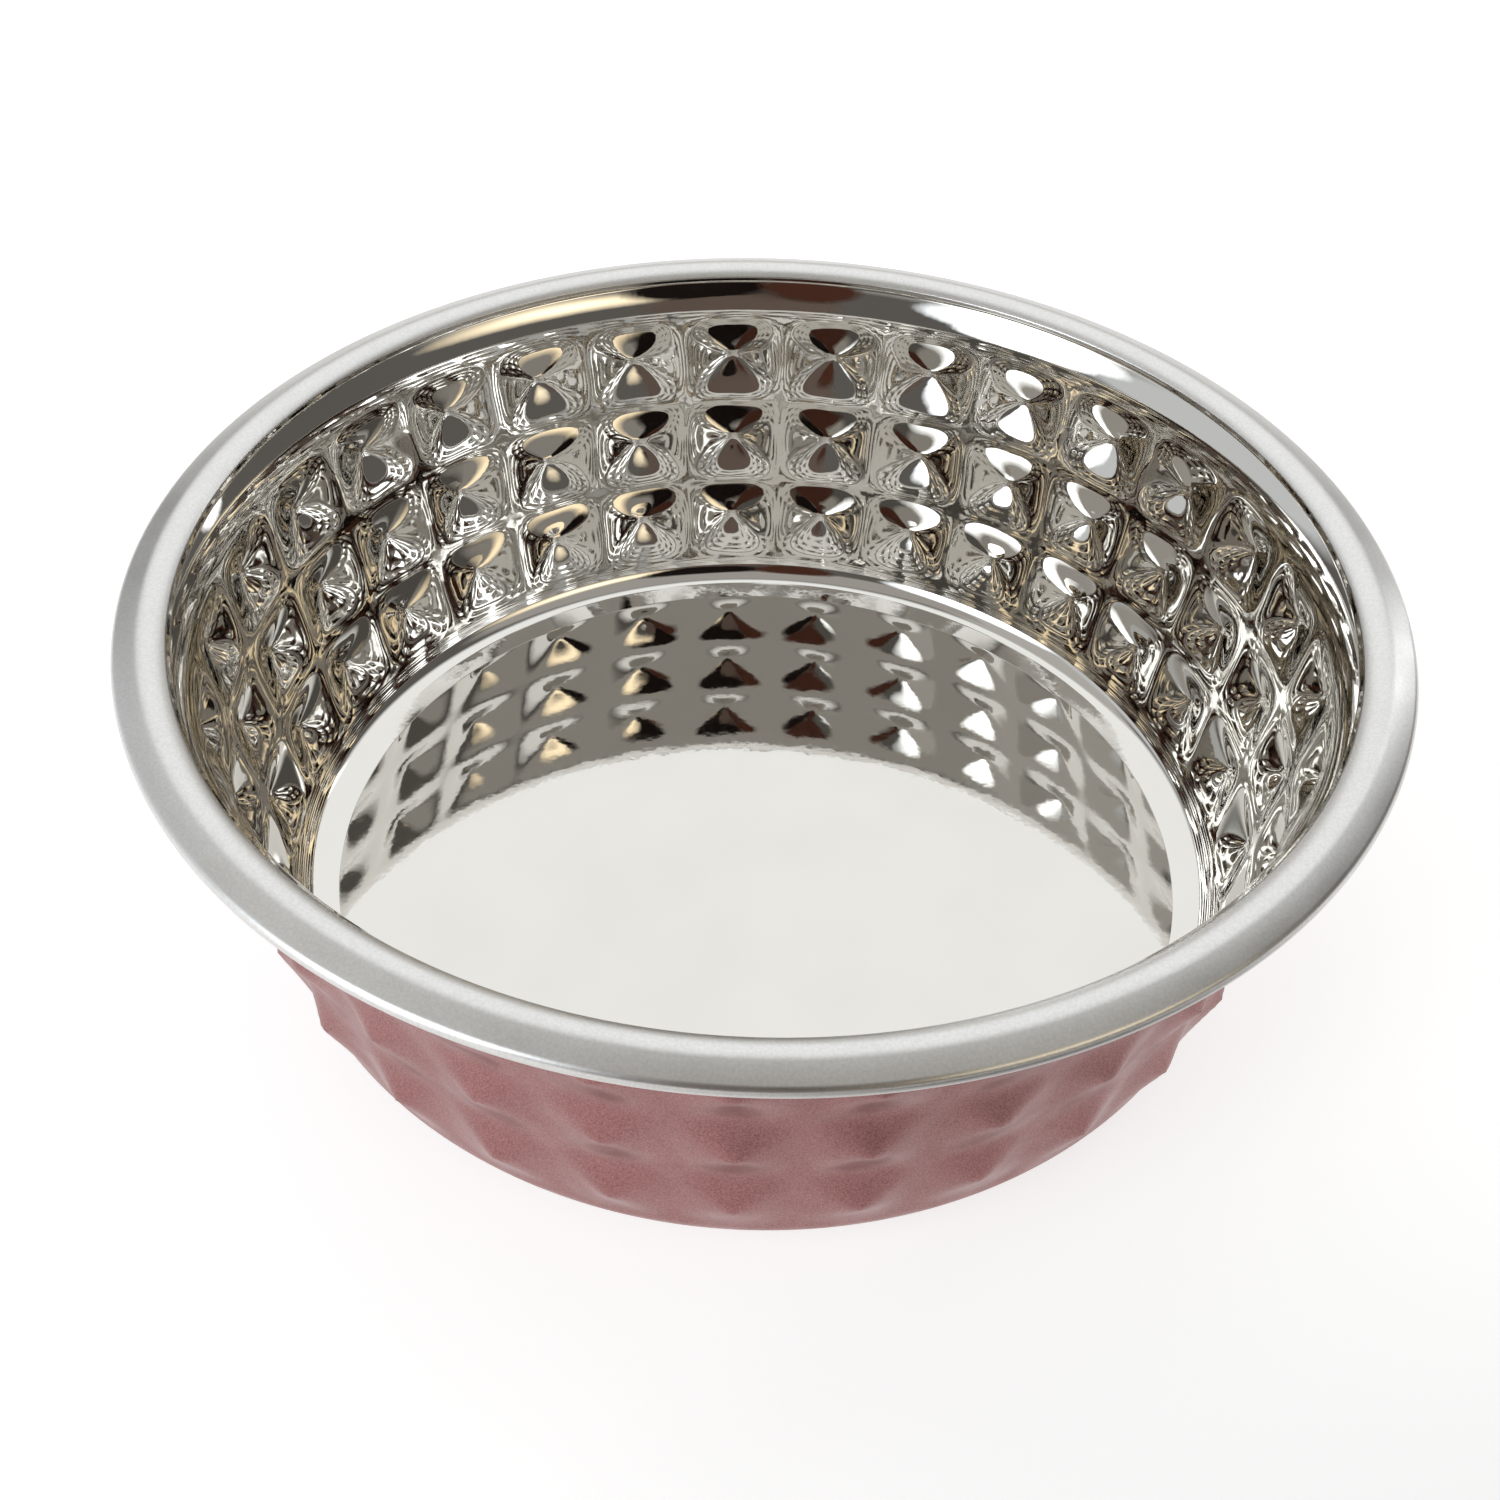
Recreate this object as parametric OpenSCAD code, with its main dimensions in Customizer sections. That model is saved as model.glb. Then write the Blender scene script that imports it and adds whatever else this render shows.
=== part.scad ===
// Hammered copper bowl: one pressed steel sheet with an embossed wall and a rolled rim,
// a copper enamel coat outside, and a rubber ring bonded under the base.
// Millimetres, +Z up, origin on the resting plane under the centre of the base.

/* [Bowl] */
// Outer diameter of the rolled rim
rim_d = 175; // [170:1:185]
// Inner height, from the floor to the crest of the rim
inner_h = 54.9; // [52:0.1:58]
// Thickness of the steel sheet
sheet_t = 0.9; // [0.6:0.1:1]
// Radius of the flat part of the floor
floor_r = 63.6; // [63:0.1:66]
// Width of the sloped ring round the flat floor
slope_w = 2.7; // [2:0.1:4]
// Rise of the sloped ring, in degrees
slope_rise = 15; // [10:1:20]
// Radius of the bend between the sloped ring and the wall
corner_r = 4.6; // [4:0.1:6]

/* [Embossing] */
// Dimples in one row round the wall
columns = 29; // [24:1:34]
// Rows of dimples up the wall
rows = 3; // [2:1:4]
// Depth of a dimple's point behind the wall
dimple_depth = 2; // [1:0.1:2.4]
// Share of a cell's width and height that its dimple takes
dimple_share = 0.88; // [0.8:0.01:0.94]
// Turn of the first column of dimples from the back
first_turn = 5.2; // [0:0.1:12]

/* [Rim] */
// Distance of the rim's crest in from its edge
crest_in = 4.5; // [4:0.1:5.5]
// Radius over the rim's crest
crest_r = 3.6; // [3:0.1:4]
// Radius of the throat that flares from the wall to the crest
throat_r = 12.4; // [9:0.1:15]
// Fall of the rim from its crest to its edge, in degrees
rim_fall = 22; // [15:1:28]
// Outer radius of the folded edge
fold_r = 1.1; // [1.05:0.05:1.4]
// Width of the hem folded back under the rim
hem_w = 2.6; // [1.5:0.1:3.2]

/* [Base and coat] */
// Thickness of the copper enamel
coat_t = 0.15; // [0.1:0.05:0.3]
// Height of the rubber ring
ring_h = 2.2; // [1.5:0.1:3]
// Outer radius of the rubber ring
ring_r = 61.5; // [58:0.5:62]
// Width of the rubber ring
ring_w = 9; // [6:0.5:12]
// Rounding of the rubber ring's edges
ring_edge = 0.6; // [0.3:0.1:0.8]

/* [Hidden] */

rim_r = rim_d / 2;
floor_z = ring_h + sheet_t;          // upper face of the floor
cell_a = 360 / columns;

// The sheet's upper face is a path of [radius, height, angle of its normal, emboss flag].
// A normal's angle is 0 towards the axis, 90 up, 180 away from the axis and 270 down.
function normal(a) = [-cos(a), sin(a)];
function level(p, a, flag = 0) = [p[0], p[1], a, flag];
function arc(c, r, a0, a1, steps) = [
    for (i = [0 : steps]) let (a = a0 + (a1 - a0) * i / steps) level(c + r * normal(a), a)
];

crest_c = [rim_r - crest_in, floor_z + inner_h - crest_r];
throat_turn = 40;                    // the normal's angle where the throat meets the crest
throat_c = crest_c + (crest_r - throat_r) * normal(throat_turn);
fall_a = 90 + rim_fall;
crest_end = crest_c + crest_r * normal(fall_a);
fold_x = rim_r - fold_r;
fold_top = [fold_x, 0] + fold_r * normal(fall_a);
fold_z = crest_end[1] - (fold_top[0] - crest_end[0]) * tan(rim_fall) - fold_top[1];
fold_c = [fold_x, fold_z];

slope_a = 90 - slope_rise;
floor_edge = [floor_r, floor_z];
slope_top = floor_edge + slope_w * [cos(slope_rise), sin(slope_rise)];
corner_c = slope_top + corner_r * normal(slope_a);

// The wall is the straight line that touches both the corner bend and the throat.
span = throat_c - corner_c;
wall_tilt = acos((corner_r + throat_r) / norm(span)) - atan2(span[1], span[0]);
wall_foot = corner_c - corner_r * normal(wall_tilt);
wall_top = throat_c + throat_r * normal(wall_tilt);

function on_wall(share) = wall_foot + (wall_top - wall_foot) * share;
function wall() = [
    for (row = [0 : rows - 1], v = [-1 : 1])
        level(on_wall((row + 0.5 + v * dimple_share / 2) / rows), wall_tilt, v == 0 ? 1 : 0)
];
function rim() = concat(
    arc(crest_c, crest_r, throat_turn + 18, fall_a, 3),
    arc(fold_c, fold_r, fall_a, fall_a + 180, 5),
    [level(fold_c + fold_r * normal(fall_a + 180) - hem_w * [cos(rim_fall), -sin(rim_fall)],
           fall_a + 180)]
);

body_face = concat(
    [level(floor_edge, 90 - slope_rise / 2)],
    arc(corner_c, -corner_r, slope_a, wall_tilt, 4),
    wall(),
    arc(throat_c, throat_r, wall_tilt, throat_turn, 3)
);
face = concat(body_face, rim());

// A face path moved back through the sheet by a distance.
function behind(path, d) = [for (p = path) level([p[0], p[1]] - d * normal(p[2]), p[2], p[3])];
function reversed(list) = [for (i = [len(list) - 1 : -1 : 0]) list[i]];

// Three spokes for each cell: the two sides of its dimple and, between them, its point.
spokes = [
    for (column = [0 : columns - 1], u = [-1 : 1])
        [90 + first_turn - cell_a * (column + u * dimple_share / 2), u == 0 ? 1 : 0]
];
function is_point(level, spoke) = level[3] * spoke[1] == 1;
function placed(level, spoke) =
    let (r = level[0] + (is_point(level, spoke) ? dimple_depth : 0))
        [r * cos(spoke[0]), r * sin(spoke[0]), level[1]];

// A closed skin through the levels, round all spokes. Its first and last levels are
// capped, unless it closes on itself as a ring.
module skin(levels, ring = false) {
    n = len(spokes);
    m = len(levels);
    points = [for (level = levels, spoke = spokes) placed(level, spoke)];
    sides = [
        for (k = [0 : m - (ring ? 1 : 2)], c = [0 : n - 1])
            let (k1 = (k + 1) % m, c1 = (c + 1) % n,
                 a = k * n + c, b = k * n + c1, d = k1 * n + c, e = k1 * n + c1,
                 ridge = is_point(levels[k], spokes[c]) || is_point(levels[k1], spokes[c1]))
                each (ridge ? [[a, e, b], [a, d, e]] : [[a, d, b], [b, d, e]])
    ];
    caps = ring ? [] : [
        [for (c = [0 : n - 1]) c],
        [for (c = [n - 1 : -1 : 0]) (m - 1) * n + c]
    ];
    polyhedron(points, concat(sides, caps), convexity = 6);
}

module steel_bowl() {
    color("silver")
        skin(concat(face, reversed(behind(face, sheet_t))));
}

module copper_coat() {
    inner_edge = level([ring_r + 0.6, floor_z], 90);
    path = concat([inner_edge], body_face);
    color("rosybrown")
        skin(
            concat(behind(path, sheet_t), reversed(behind(path, sheet_t + coat_t))),
            ring = true
        );
}

module rubber_ring() {
    inner_r = ring_r - ring_w;
    color([0.12, 0.12, 0.12])
        rotate_extrude($fn = 120)
            polygon([
                [inner_r, ring_h],
                [inner_r, ring_edge],
                [inner_r + ring_edge, 0],
                [ring_r - ring_edge, 0],
                [ring_r, ring_edge],
                [ring_r, ring_h]
            ]);
}

steel_bowl();
copper_coat();
rubber_ring();
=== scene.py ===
"""Hammered copper bowl: the looks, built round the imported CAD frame. Metres, in the CAD's own frame."""
import math

import bpy
import numpy as np
from mathutils import Matrix, Vector

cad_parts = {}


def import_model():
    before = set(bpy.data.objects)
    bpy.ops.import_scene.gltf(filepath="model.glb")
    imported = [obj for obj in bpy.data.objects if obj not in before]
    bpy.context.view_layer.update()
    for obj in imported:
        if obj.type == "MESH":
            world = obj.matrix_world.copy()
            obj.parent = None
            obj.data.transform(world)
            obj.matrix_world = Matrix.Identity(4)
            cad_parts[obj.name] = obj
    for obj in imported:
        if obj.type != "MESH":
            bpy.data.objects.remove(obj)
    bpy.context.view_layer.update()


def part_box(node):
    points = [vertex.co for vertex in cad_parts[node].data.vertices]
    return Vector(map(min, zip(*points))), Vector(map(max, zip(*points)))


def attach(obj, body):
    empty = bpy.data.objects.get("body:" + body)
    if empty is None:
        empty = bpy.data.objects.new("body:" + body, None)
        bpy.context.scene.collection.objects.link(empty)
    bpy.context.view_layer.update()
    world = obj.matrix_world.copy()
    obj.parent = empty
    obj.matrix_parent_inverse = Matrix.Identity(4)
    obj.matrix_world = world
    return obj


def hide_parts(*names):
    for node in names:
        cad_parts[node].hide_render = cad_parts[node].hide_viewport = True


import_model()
MM = 0.001

# ---------------------------------------------------------------- driving sizes, from the CAD frame
steel_lo, steel_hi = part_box("steel_bowl")
ring_lo, ring_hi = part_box("rubber_ring")
RIM_R = min(steel_hi.x, -steel_lo.x, steel_hi.y, -steel_lo.y)
RIM_TOP = steel_hi.z
RING_R = min(ring_hi.x, -ring_lo.x)
RING_H = ring_hi.z

SHEET_T = 0.9 * MM
COAT_T = 0.15 * MM
FLOOR_Z = RING_H + SHEET_T
FLOOR_R = 63.6 * MM      # the flat part of the floor
CREASE_R = 0.7 * MM      # rounding between the flat floor and the sloped ring
SLOPE_W = 2.7 * MM       # the sloped ring round the flat floor
SLOPE_RISE = math.radians(15)
CORNER_R = 4.6 * MM      # bend between the sloped ring and the wall
CREST_IN = 4.5 * MM      # from the rim's edge in to its crest
CREST_R = 3.6 * MM
THROAT_R = 12.4 * MM     # flare from the wall to the crest
THROAT_TURN = math.radians(40)    # angle of the normal where the throat meets the crest
RIM_FALL = math.radians(22)       # from the crest down to the rim's edge
FOLD_R = 1.1 * MM        # outside of the folded edge
HEM_W = 2.6 * MM         # the hem turned back under the rim
COAT_GAP = 0.6 * MM      # from the rubber ring out to the coat's edge
RING_W = 9 * MM
RING_EDGE = 0.6 * MM     # rounding of the rubber ring's lower edges

# ---------------------------------------------------------------- the embossing
COLUMNS = 29
ROWS = 3
FIRST_TURN = math.radians(5.2)    # the first column, from +Y towards -X
DIMPLE_DEPTH = 2.3 * MM
DIMPLE_SHARE = 0.98      # share of a cell's width and height that its dimple takes
DIMPLE_POWER = 1.45      # above 1 the facets sag like a tent's, steepest at the point
OUTLINE_SQUARE = 4.2     # 2 is round, and the higher, the squarer a dimple's outline
POINT_SQUARE = 2.7       # the same near its point
POINT_ROUND = 0.05       # share of a dimple's half width that its point is rounded over
SEED = 29
DEPTH_SPREAD = 0.05      # how much the dimples differ in depth, as a share of it
POINT_SPREAD = 0.02      # how far their points stray, as a share of a dimple's half width
WAVE = 0.018 * MM        # hand-press waviness of the wall
WAVES = ((23, 4.1, 0.0), (37, -6.3, 1.0), (61, 9.7, 2.0))    # waves round, lean per row, start
WAVE_FADE = 4            # the waviness fades over one row divided by this, at the wall's ends

# ---------------------------------------------------------------- mesh steps
CELL_STEPS = 16          # across one cell, each way
CREASE_STEPS, CORNER_STEPS, THROAT_STEPS = 3, 12, 8
CREST_STEPS, FOLD_STEPS, HEM_STEPS, RING_STEPS = 14, 10, 2, 6
BODY = ("slope", "corner", "wall", "throat")    # the stretches that the coat covers
OFF_WALL = -1.0          # place up the wall of a point that isn't on it


def normal(a):
    """Unit normal of the sheet's face in (radius, height), 0 towards the axis and a quarter turn up."""
    return np.array([-math.cos(a), math.sin(a)])


def face_point(place, a, up_wall=OFF_WALL):
    """A point of the face, as (radius, height, angle of the normal, place up the wall in rows)."""
    return (*place, a, up_wall)


def arc(centre, radius, start, end, steps):
    """Face points on an arc, between two angles of the normal. A hollow bend has a negative radius."""
    return [face_point(centre + radius * normal(a), a) for a in np.linspace(start, end, steps + 1)]


def line(first, last, a, steps):
    """Face points on a straight stretch."""
    return [face_point(first + (last - first) * s, a) for s in np.linspace(0, 1, steps + 1)]


def profile():
    """The sheet's upper face from the floor's edge to the hem, as named stretches of face points."""
    up, fall = math.pi / 2, math.pi / 2 + RIM_FALL
    crest_c = np.array([RIM_R - CREST_IN, RIM_TOP - CREST_R])
    throat_c = crest_c + (CREST_R - THROAT_R) * normal(THROAT_TURN)
    slope_a = up - SLOPE_RISE
    floor_edge = np.array([FLOOR_R, FLOOR_Z])
    crease_c = np.array([FLOOR_R - CREASE_R * math.tan(SLOPE_RISE / 2), FLOOR_Z + CREASE_R])
    slope_top = floor_edge + SLOPE_W * np.array([math.cos(SLOPE_RISE), math.sin(SLOPE_RISE)])
    corner_c = slope_top + CORNER_R * normal(slope_a)
    # The wall is the straight line that touches both the corner bend and the throat.
    span = throat_c - corner_c
    tilt = math.acos((CORNER_R + THROAT_R) / np.linalg.norm(span)) - math.atan2(span[1], span[0])
    foot = corner_c - CORNER_R * normal(tilt)
    top = throat_c + THROAT_R * normal(tilt)
    wall_steps = ROWS * CELL_STEPS
    wall = [face_point(foot + (top - foot) * s, tilt, s * ROWS) for s in np.linspace(0, 1, wall_steps + 1)]
    crest_end = crest_c + CREST_R * normal(fall)
    fold_x = RIM_R - FOLD_R
    fold_tangent = np.array([fold_x, 0]) + FOLD_R * normal(fall)
    fold_z = crest_end[1] - (fold_tangent[0] - crest_end[0]) * math.tan(RIM_FALL) - fold_tangent[1]
    fold_c = np.array([fold_x, fold_z])
    hem_start = fold_c + FOLD_R * normal(fall + math.pi)
    hem_end = hem_start - HEM_W * np.array([math.cos(RIM_FALL), -math.sin(RIM_FALL)])
    return {
        "slope": arc(crease_c, -CREASE_R, up, slope_a, CREASE_STEPS) + [face_point(slope_top, slope_a)],
        "corner": arc(corner_c, -CORNER_R, slope_a, tilt, CORNER_STEPS)[1:],
        "wall": wall[1:],
        "throat": arc(throat_c, THROAT_R, tilt, THROAT_TURN, THROAT_STEPS)[1:],
        "crest": arc(crest_c, CREST_R, THROAT_TURN, fall, CREST_STEPS),
        "fold": arc(fold_c, FOLD_R, fall, fall + math.pi, FOLD_STEPS),
        "hem": line(hem_start, hem_end, fall + math.pi, HEM_STEPS)[1:],
    }


def behind(points, d):
    """Face points moved back through the sheet by d."""
    return [face_point(np.array(p[:2]) - d * normal(p[2]), p[2], p[3]) for p in points]


def superellipse(u, v, power):
    """Distance from a dimple's middle, 1 on its outline: a circle for a power of 2, and squarer above."""
    return (np.abs(u) ** power + np.abs(v) ** power) ** (1 / power)


def emboss(theta, up_wall):
    """How far the face is pushed outwards at each turn (radians) and place up the wall (in rows)."""
    rng = np.random.default_rng(SEED)
    depth = 1 + DEPTH_SPREAD * rng.standard_normal((ROWS, COLUMNS))
    off_u = POINT_SPREAD * rng.standard_normal((ROWS, COLUMNS))
    off_v = POINT_SPREAD * rng.standard_normal((ROWS, COLUMNS))
    turn = (FIRST_TURN - theta) / (2 * math.pi) * COLUMNS + 0.5
    column = np.floor(turn).astype(int) % COLUMNS
    row = np.clip(np.floor(up_wall).astype(int), 0, ROWS - 1)
    u = (turn - np.floor(turn) - 0.5) * 2 / DIMPLE_SHARE
    v = (up_wall - row - 0.5) * 2 / DIMPLE_SHARE
    u = u + off_u[row, column] * (1 - u * u)
    v = v + off_v[row, column] * (1 - v * v)
    outline = superellipse(u, v, OUTLINE_SQUARE)
    share = np.clip(outline, 0, 1)
    m = share * outline + (1 - share) * superellipse(u, v, POINT_SQUARE)
    m = np.sqrt(m * m + POINT_ROUND ** 2)
    inside = np.clip(1 - m, 0, 1) ** DIMPLE_POWER
    wave = sum(np.sin(count * theta + lean * up_wall + start) for count, lean, start in WAVES)
    wave = wave * np.clip(WAVE_FADE * up_wall, 0, 1) * np.clip(WAVE_FADE * (ROWS - up_wall), 0, 1)
    return np.where(up_wall < 0, 0.0, DIMPLE_DEPTH * depth[row, column] * inside + WAVE * wave)


# Turns round the axis, counted so that a dimple's point falls on a column of vertices.
SPOKES = FIRST_TURN - (np.arange(COLUMNS * CELL_STEPS) / CELL_STEPS - 0.5) * 2 * math.pi / COLUMNS


def skin_points(levels):
    """Vertices of every level round all spokes, embossed where the level is on the wall."""
    table = np.array([p[:2] for p in levels])
    push = np.array([emboss(SPOKES, np.full(len(SPOKES), p[3])) for p in levels])
    radius = table[:, :1] + push
    x, y = radius * -np.sin(SPOKES), radius * np.cos(SPOKES)
    z = np.repeat(table[:, 1:], len(SPOKES), axis=1)
    return np.stack([x, y, z], -1).reshape(-1, 3)


def skin_faces(levels, closed):
    """Triangles between the levels, and the level that each starts from. Every square is cut in the
    direction of its dimple's nearest ridge, from point to corner."""
    count, steps = len(levels), len(SPOKES)
    lower = np.arange(count if closed else count - 1)
    level, spoke = np.meshgrid(lower, np.arange(steps), indexing="ij")
    next_level, next_spoke = (level + 1) % count, (spoke + 1) % steps
    here, beside = level * steps + spoke, level * steps + next_spoke
    above, across = next_level * steps + spoke, next_level * steps + next_spoke
    up_wall = np.array([p[3] for p in levels])
    upper_half = (up_wall[level] + up_wall[next_level]) / 2 % 1 > 0.5
    far_half = (spoke % CELL_STEPS + 0.5) / CELL_STEPS > 0.5
    ridge = (upper_half == far_half)[..., None]
    first = np.where(ridge, np.stack([here, across, beside], -1), np.stack([here, above, beside], -1))
    second = np.where(ridge, np.stack([here, above, across], -1), np.stack([beside, above, across], -1))
    return np.concatenate([first, second], -1).reshape(-1, 3), np.repeat(level.reshape(-1), 2)


def skin(name, levels, materials, closed=False, floor=False):
    """A mesh through the levels, round all spokes. Materials are (material, first level) pairs.
    A closed skin ends where it starts; floor fills the first and last levels with a fan."""
    count, steps = len(levels), len(SPOKES)
    verts = skin_points(levels)
    faces, level_of = skin_faces(levels, closed)
    if floor:
        low, high = len(verts), len(verts) + 1
        verts = np.vstack([verts, [0, 0, levels[0][1]], [0, 0, levels[-1][1]]])
        end = (count - 1) * steps
        fan = [(low, i, (i + 1) % steps) for i in range(steps)]
        fan += [(high, end + (i + 1) % steps, end + i) for i in range(steps)]
        faces = np.vstack([faces, fan])
        level_of = np.concatenate([level_of, np.zeros(steps, int), np.full(steps, count - 2)])
    mesh = bpy.data.meshes.new(name)
    mesh.from_pydata(verts.tolist(), [], faces.tolist())
    index = np.zeros(len(faces), np.int32)
    for number, (surface, start) in enumerate(materials):
        mesh.materials.append(surface)
        index[level_of >= start] = number
    mesh.polygons.foreach_set("material_index", index)
    mesh.polygons.foreach_set("use_smooth", np.ones(len(faces), bool))
    mesh.update()
    mesh.validate()
    piece = bpy.data.objects.new(name, mesh)
    bpy.context.scene.collection.objects.link(piece)
    return piece


# ---------------------------------------------------------------- materials
def material(name):
    """A new material, with its nodes, its links and its Principled shader."""
    made = bpy.data.materials.new(name)
    made.use_nodes = True
    nodes = made.node_tree.nodes
    return made, nodes, made.node_tree.links, nodes["Principled BSDF"]


def noise(nodes, links, scale, detail=2.0):
    """A noise value in object space, with its scale per metre."""
    place = nodes.new("ShaderNodeTexCoord")
    made = nodes.new("ShaderNodeTexNoise")
    made.inputs["Scale"].default_value = scale
    made.inputs["Detail"].default_value = detail
    links.new(place.outputs["Object"], made.inputs["Vector"])
    return made.outputs["Fac"]


def ramp(nodes, links, value, low, high, start=0.35, end=0.65):
    """A colour that runs from low to high while the value runs from start to end."""
    made = nodes.new("ShaderNodeValToRGB")
    first, last = made.color_ramp.elements
    first.position, first.color = start, (*low, 1)
    last.position, last.color = end, (*high, 1)
    links.new(value, made.inputs["Fac"])
    return made.outputs["Color"]


def tone(nodes, links, shader, value, low, high):
    """The base colour, varied between two colours."""
    links.new(ramp(nodes, links, value, low, high), shader.inputs["Base Color"])


def gloss(nodes, links, shader, value, low, high):
    """The roughness, varied between two values."""
    links.new(ramp(nodes, links, value, (low,) * 3, (high,) * 3), shader.inputs["Roughness"])


def bump(nodes, links, shader, value, distance, strength):
    """Fine relief, as deep as distance."""
    made = nodes.new("ShaderNodeBump")
    made.inputs["Distance"].default_value = distance
    made.inputs["Strength"].default_value = strength
    links.new(value, made.inputs["Height"])
    links.new(made.outputs["Normal"], shader.inputs["Normal"])


def polished_steel():
    """The mirror inside, with faint clouding and the slight ripple of pressed sheet."""
    made, nodes, links, shader = material("polished_steel")
    shader.inputs["Metallic"].default_value = 1.0
    tone(nodes, links, shader, noise(nodes, links, scale=60),
         low=(0.66, 0.64, 0.605), high=(0.675, 0.655, 0.62))
    gloss(nodes, links, shader, noise(nodes, links, scale=900), low=0.02, high=0.045)
    bump(nodes, links, shader, noise(nodes, links, scale=220, detail=3), 0.06 * MM, strength=0.25)
    return made


def satin_steel():
    """The rim's top, with a fine even grain."""
    made, nodes, links, shader = material("satin_steel")
    shader.inputs["Metallic"].default_value = 1.0
    tone(nodes, links, shader, noise(nodes, links, scale=2600, detail=3),
         low=(0.64, 0.63, 0.61), high=(0.71, 0.70, 0.68))
    gloss(nodes, links, shader, noise(nodes, links, scale=120), low=0.32, high=0.36)
    bump(nodes, links, shader, noise(nodes, links, scale=4200, detail=3), 0.02 * MM, strength=0.3)
    return made


def copper_enamel():
    """The dusty-rose coat, with metal flakes and a slight orange peel."""
    made, nodes, links, shader = material("copper_enamel")
    shader.inputs["Metallic"].default_value = 0.88
    tone(nodes, links, shader, noise(nodes, links, scale=4200, detail=3),
         low=(0.25, 0.110, 0.106), high=(0.41, 0.196, 0.190))
    gloss(nodes, links, shader, noise(nodes, links, scale=160, detail=3), low=0.30, high=0.40)
    bump(nodes, links, shader, noise(nodes, links, scale=3600, detail=3), 0.02 * MM, strength=0.35)
    return made


def black_rubber():
    """The ring's matt rubber, finely grained."""
    made, nodes, links, shader = material("black_rubber")
    shader.inputs["Roughness"].default_value = 0.62
    tone(nodes, links, shader, noise(nodes, links, scale=700, detail=3), low=(0.018,) * 3, high=(0.04,) * 3)
    bump(nodes, links, shader, noise(nodes, links, scale=1600, detail=3), 0.1 * MM, strength=0.6)
    return made


# ---------------------------------------------------------------- the bowl's pieces
def build_steel(parts):
    """The pressed sheet, mirror-polished inside, and satin on the rim and the back."""
    front = [p for stretch in parts.values() for p in stretch]
    back = behind(front, SHEET_T)[::-1]
    rim_start = sum(len(parts[name]) for name in BODY)
    surfaces = [(polished_steel(), 0), (satin_steel(), rim_start)]
    piece = skin("steel_bowl_pressed", front + back, surfaces, floor=True)
    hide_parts("steel_bowl")
    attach(piece, "root")


def build_coat(parts):
    """The enamel, a thin closed skin on the sheet's back, from beside the ring up to the rim."""
    edge = face_point((RING_R + COAT_GAP, FLOOR_Z), math.pi / 2)
    path = [edge] + [p for name in BODY for p in parts[name]]
    levels = behind(path, SHEET_T) + behind(path, SHEET_T + COAT_T)[::-1]
    piece = skin("copper_coat_enamel", levels, [(copper_enamel(), 0)], closed=True)
    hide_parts("copper_coat")
    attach(piece, "root")


def build_ring():
    """The rubber ring: flat on top, with rounded lower edges."""
    inner = RING_R - RING_W
    centre_in = np.array([inner + RING_EDGE, RING_EDGE])
    centre_out = np.array([RING_R - RING_EDGE, RING_EDGE])
    path = [face_point((inner, RING_H), 0.0)]
    path += arc(centre_in, RING_EDGE, 0, -math.pi / 2, RING_STEPS)
    path += arc(centre_out, RING_EDGE, -math.pi / 2, -math.pi, RING_STEPS)
    path += [face_point((RING_R, RING_H), 0.0)]
    piece = skin("rubber_ring_bonded", path[::-1], [(black_rubber(), 0)], closed=True)
    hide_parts("rubber_ring")
    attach(piece, "root")


parts = profile()
build_steel(parts)
build_coat(parts)
build_ring()


# ---------------------------------------------------------------- stage, light and camera
BOWL = (0, 0, 0.04)      # the middle of the bowl, which the cards face
FLOOR_GAP = 0.2 * MM     # keeps the floor off the ring's flat underside
MATT = 0.9
CARD_FACE = [(0, 1, 2, 3)]


def card_corners(half_w, half_h):
    """A card's corners, in the order that CARD_FACE joins them."""
    return [(-half_w, -half_h, 0), (half_w, -half_h, 0), (half_w, half_h, 0), (-half_w, half_h, 0)]


def stage_object(name, verts, faces, base, light, glow):
    """An object of the stage, with a material of its own that glows in the colour of the light."""
    mesh = bpy.data.meshes.new(name)
    mesh.from_pydata(verts, [], faces)
    made, nodes, links, shader = material(name)
    shader.inputs["Base Color"].default_value = (*base, 1)
    shader.inputs["Emission Color"].default_value = (*light, 1)
    shader.inputs["Emission Strength"].default_value = glow
    mesh.materials.append(made)
    thing = bpy.data.objects.new(name, mesh)
    bpy.context.scene.collection.objects.link(thing)
    return thing, nodes, links, shader


def soften(nodes, links, half_w, half_h, soft):
    """A value of 1 in the middle of a card that falls to 0 at its rounded outline."""
    place = nodes.new("ShaderNodeTexCoord")
    shape = nodes.new("ShaderNodeMapping")
    shape.inputs["Scale"].default_value = (1 / half_w, 1 / half_h, 1)
    fade = nodes.new("ShaderNodeTexGradient")
    fade.gradient_type = "SPHERICAL"
    links.new(place.outputs["Object"], shape.inputs["Vector"])
    links.new(shape.outputs["Vector"], fade.inputs["Vector"])
    return ramp(nodes, links, fade.outputs["Fac"], (0.0,) * 3, (1.0,) * 3, start=0.0, end=soft)


def staged_card(name, centre, size, colour, glow=0.0, soft=0.3, facing=BOWL):
    """A card that shows only in the bowl's reflections. One that glows is a soft light and reflects
    nothing itself. Its edge fades out over the share of its half width called soft."""
    half_w, half_h = size[0] / 2, size[1] / 2
    base = (0.0, 0.0, 0.0) if glow else colour
    card, nodes, links, shader = stage_object(
        name, card_corners(half_w, half_h), CARD_FACE, base, colour, glow)
    shader.inputs["Roughness"].default_value = MATT
    shader.inputs["Specular IOR Level"].default_value = 0.0
    links.new(soften(nodes, links, half_w, half_h, soft), shader.inputs["Alpha"])
    toward = Vector(facing) - Vector(centre)
    card.matrix_world = Matrix.Translation(centre) @ toward.to_track_quat("Z", "Y").to_matrix().to_4x4()
    card.visible_camera = False


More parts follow.
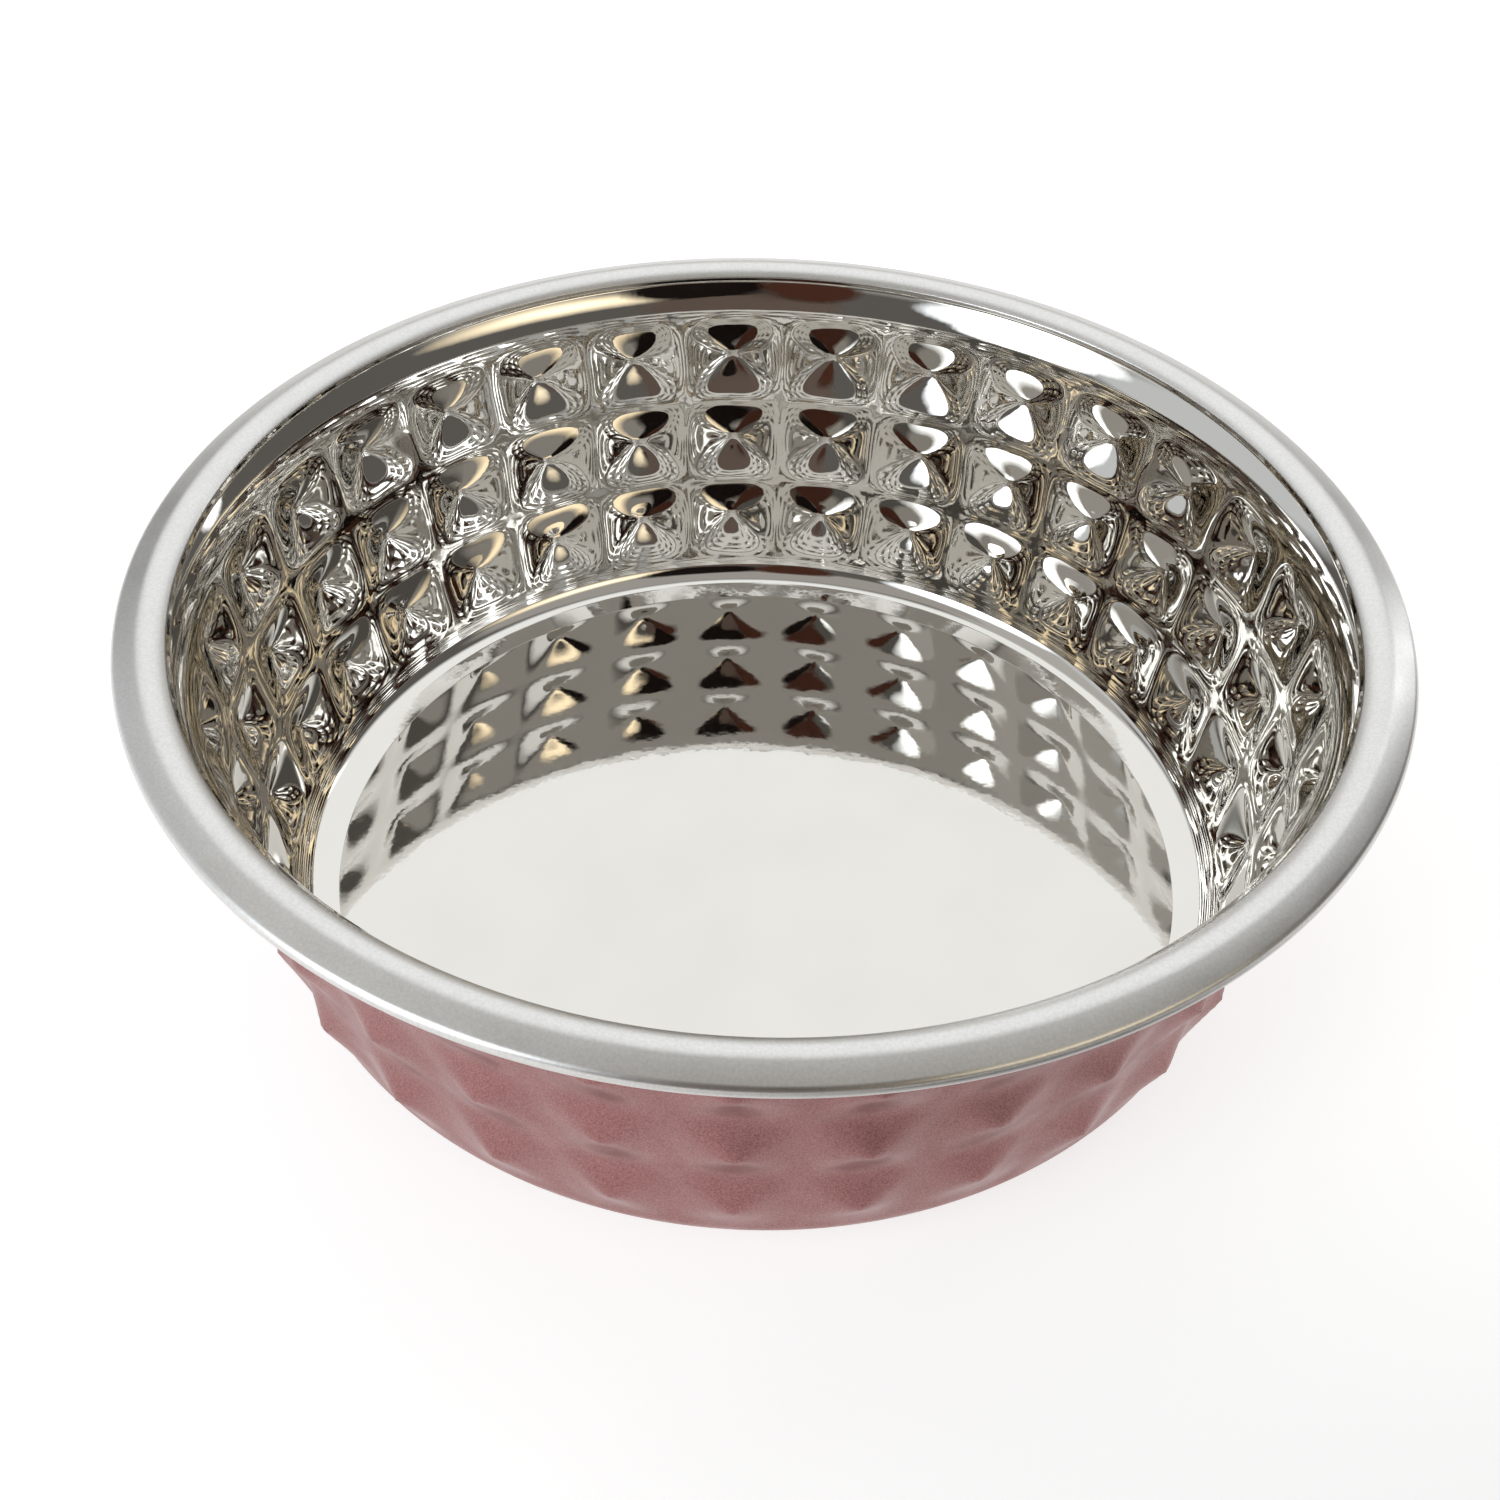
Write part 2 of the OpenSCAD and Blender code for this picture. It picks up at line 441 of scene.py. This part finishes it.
def staged_floor(half, colour, glow):
    """The pale floor the bowl stands on. It glows a little, so it stays pale beside the bowl."""
    card, _, _, shader = stage_object(
        "floor", card_corners(half, half), CARD_FACE, colour, (1, 1, 1), glow)
    shader.inputs["Roughness"].default_value = MATT
    card.location.z = -FLOOR_GAP


def staged_sweep(radius, height, sides, glow):
    """A pale wall all round, far off, behind the bowl from every side. Only the camera sees it."""
    turns = [2 * math.pi * i / sides for i in range(sides)]
    ring = [(radius * math.cos(a), radius * math.sin(a)) for a in turns]
    verts = [(x, y, 0) for x, y in ring] + [(x, y, height) for x, y in ring] + [(0, 0, height)]
    faces = [(i, (i + 1) % sides, sides + (i + 1) % sides, sides + i) for i in range(sides)]
    faces += [(sides + i, sides + (i + 1) % sides, 2 * sides) for i in range(sides)]
    wall = stage_object("sweep", verts, faces, (0, 0, 0), (1, 1, 1), glow)[0]
    wall.visible_diffuse = wall.visible_glossy = wall.visible_shadow = False


staged_sweep(radius=5.5, height=5.0, sides=64, glow=0.97)
staged_floor(half=6, colour=(0.42, 0.42, 0.42), glow=0.75)
# The room in the mirror: each card's name, centre, size and colour.
staged_card("ceiling", (0.0, 0.98, 1.40), (4.0, 2.8), (0.97, 0.99, 1.0), glow=1.24)
staged_card("backdrop", (0.0, 1.90, 0.50), (3.0, 1.10), (1.0, 0.98, 0.95), glow=0.70)
staged_card("room", (0.05, -0.55, 1.30), (4.2, 1.3), (1.0, 0.97, 0.92), glow=0.46)
staged_card("window", (-1.00, -0.74, 0.68), (1.15, 1.05), (0.88, 0.94, 1.0), glow=4.5, soft=0.5)
staged_card("low_window", (-0.78, -0.60, 0.26), (0.60, 0.46), (0.90, 0.93, 1.0), glow=6.5, soft=0.6)
staged_card("left_wall", (-1.50, 0.20, 0.45), (2.4, 1.2), (0.93, 0.97, 1.0), glow=0.80)
staged_card("left_high", (-1.10, -0.10, 1.30), (1.6, 1.4), (1.0, 0.98, 0.95), glow=0.60)
staged_card("right_window", (0.95, 0.85, 0.45), (0.20, 0.90), (0.95, 0.97, 1.0), glow=4.0, soft=0.6)
staged_card("warm_lamp", (0.72, -0.68, 0.62), (1.30, 0.50), (1.0, 0.86, 0.62), glow=2.4, soft=0.8)
staged_card("torso", (0.08, -0.62, 0.18), (0.56, 0.60), (0.16, 0.12, 0.10))
staged_card("photographer", (0.15, -0.46, 0.46), (0.34, 0.46), (0.014, 0.010, 0.009))
staged_card("sleeve", (-0.06, -0.44, 0.42), (0.20, 0.50), (0.085, 0.034, 0.022))
# Painted shadow: a dark patch just over the floor at the front right, facing up, standing in for the
# photographer's shadow. It darkens what the coat reflects there.
SHADE_X, SHADE_Y, SHADE_Z = 0.16, -0.20, 0.004
staged_card("shade", (SHADE_X, SHADE_Y, SHADE_Z), (0.46, 0.34), (0.02, 0.02, 0.02),
            soft=0.7, facing=(SHADE_X, SHADE_Y, 1))

WORLD_COLOUR, WORLD_STRENGTH = (1.0, 0.96, 0.91), 0.14
CAMERA_UNIT = 87.5 * MM  # the rim's radius as designed, in which the camera's place is given
CAMERA_Y, CAMERA_Z = -2.5939, 2.6505                          # from the middle of the bowl's floor
CAMERA_YAW, CAMERA_PITCH, CAMERA_ROLL = -0.0070, 0.7466, 0.0313    # radians
CAMERA_LENS, CAMERA_SENSOR = 50.49, 36                        # millimetres
CAMERA_NEAR, CAMERA_FAR = 0.01, 50


def world():
    made = bpy.data.worlds.new("studio")
    made.use_nodes = True
    made.node_tree.nodes["Background"].inputs["Color"].default_value = (*WORLD_COLOUR, 1)
    made.node_tree.nodes["Background"].inputs["Strength"].default_value = WORLD_STRENGTH
    bpy.context.scene.world = made


def camera():
    """The camera in front of the bowl, looking down into it, and rolled a little."""
    place = Vector((0, CAMERA_Y * CAMERA_UNIT, CAMERA_Z * CAMERA_UNIT + FLOOR_Z))
    yaw, pitch, roll = CAMERA_YAW, CAMERA_PITCH, CAMERA_ROLL
    forward = Vector((math.sin(yaw) * math.cos(pitch), math.cos(yaw) * math.cos(pitch), -math.sin(pitch)))
    level = Vector((math.cos(yaw), -math.sin(yaw), 0))
    upward = level.cross(forward)
    right = math.cos(roll) * level + math.sin(roll) * upward
    up = math.cos(roll) * upward - math.sin(roll) * level
    turn = Matrix((right, up, -forward)).transposed().to_4x4()
    data = bpy.data.cameras.new("camera")
    data.sensor_width = CAMERA_SENSOR
    data.lens = CAMERA_LENS
    data.clip_start, data.clip_end = CAMERA_NEAR, CAMERA_FAR
    made = bpy.data.objects.new("camera", data)
    made.matrix_world = Matrix.Translation(place) @ turn
    bpy.context.scene.collection.objects.link(made)
    bpy.context.scene.camera = made


world()
camera()
bpy.context.scene.view_settings.view_transform = "Standard"
